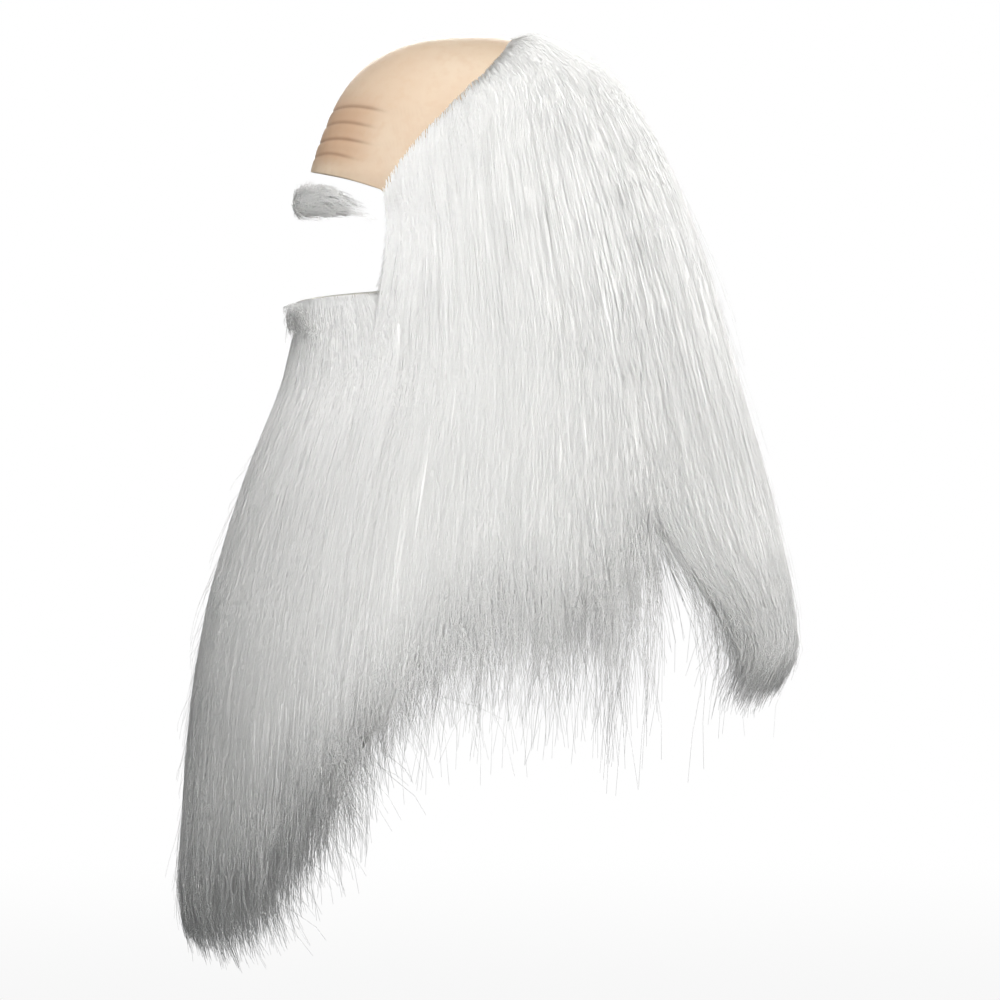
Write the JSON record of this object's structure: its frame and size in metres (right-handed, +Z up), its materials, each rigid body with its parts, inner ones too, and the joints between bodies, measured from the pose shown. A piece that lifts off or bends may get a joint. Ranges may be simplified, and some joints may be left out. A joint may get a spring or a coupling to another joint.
{
  "type": "wise man wig with bald cap and beard",
  "caption": "Costume wig: bald latex cap with a creased forehead, long straight white hair behind it, a full long beard on a cloth backing, a moustache tuft and bushy brows.",
  "frame": {"origin": "the crown of the wearer's head, where it meets the inside of the bald cap", "axes": "+Z up, the wearer faces -Y, +X to the wearer's left; X = 0 is the plane of symmetry"},
  "size_m": [0.2876, 0.4027, 0.6044],
  "materials": {
    "latex_skin": "matte skin-coloured latex with a little mottling",
    "white_hair": "straight white synthetic fibre with a soft sheen",
    "backing_cloth": "off-white woven cloth"
  },
  "bodies": {
    "root": {"bald_cap": "latex_skin", "long_hair": "white_hair", "beard": "white_hair", "beard_backing": "backing_cloth", "moustache": "white_hair", "eyebrow_left": "white_hair", "eyebrow_right": "white_hair"}
  },
  "joints": []
}
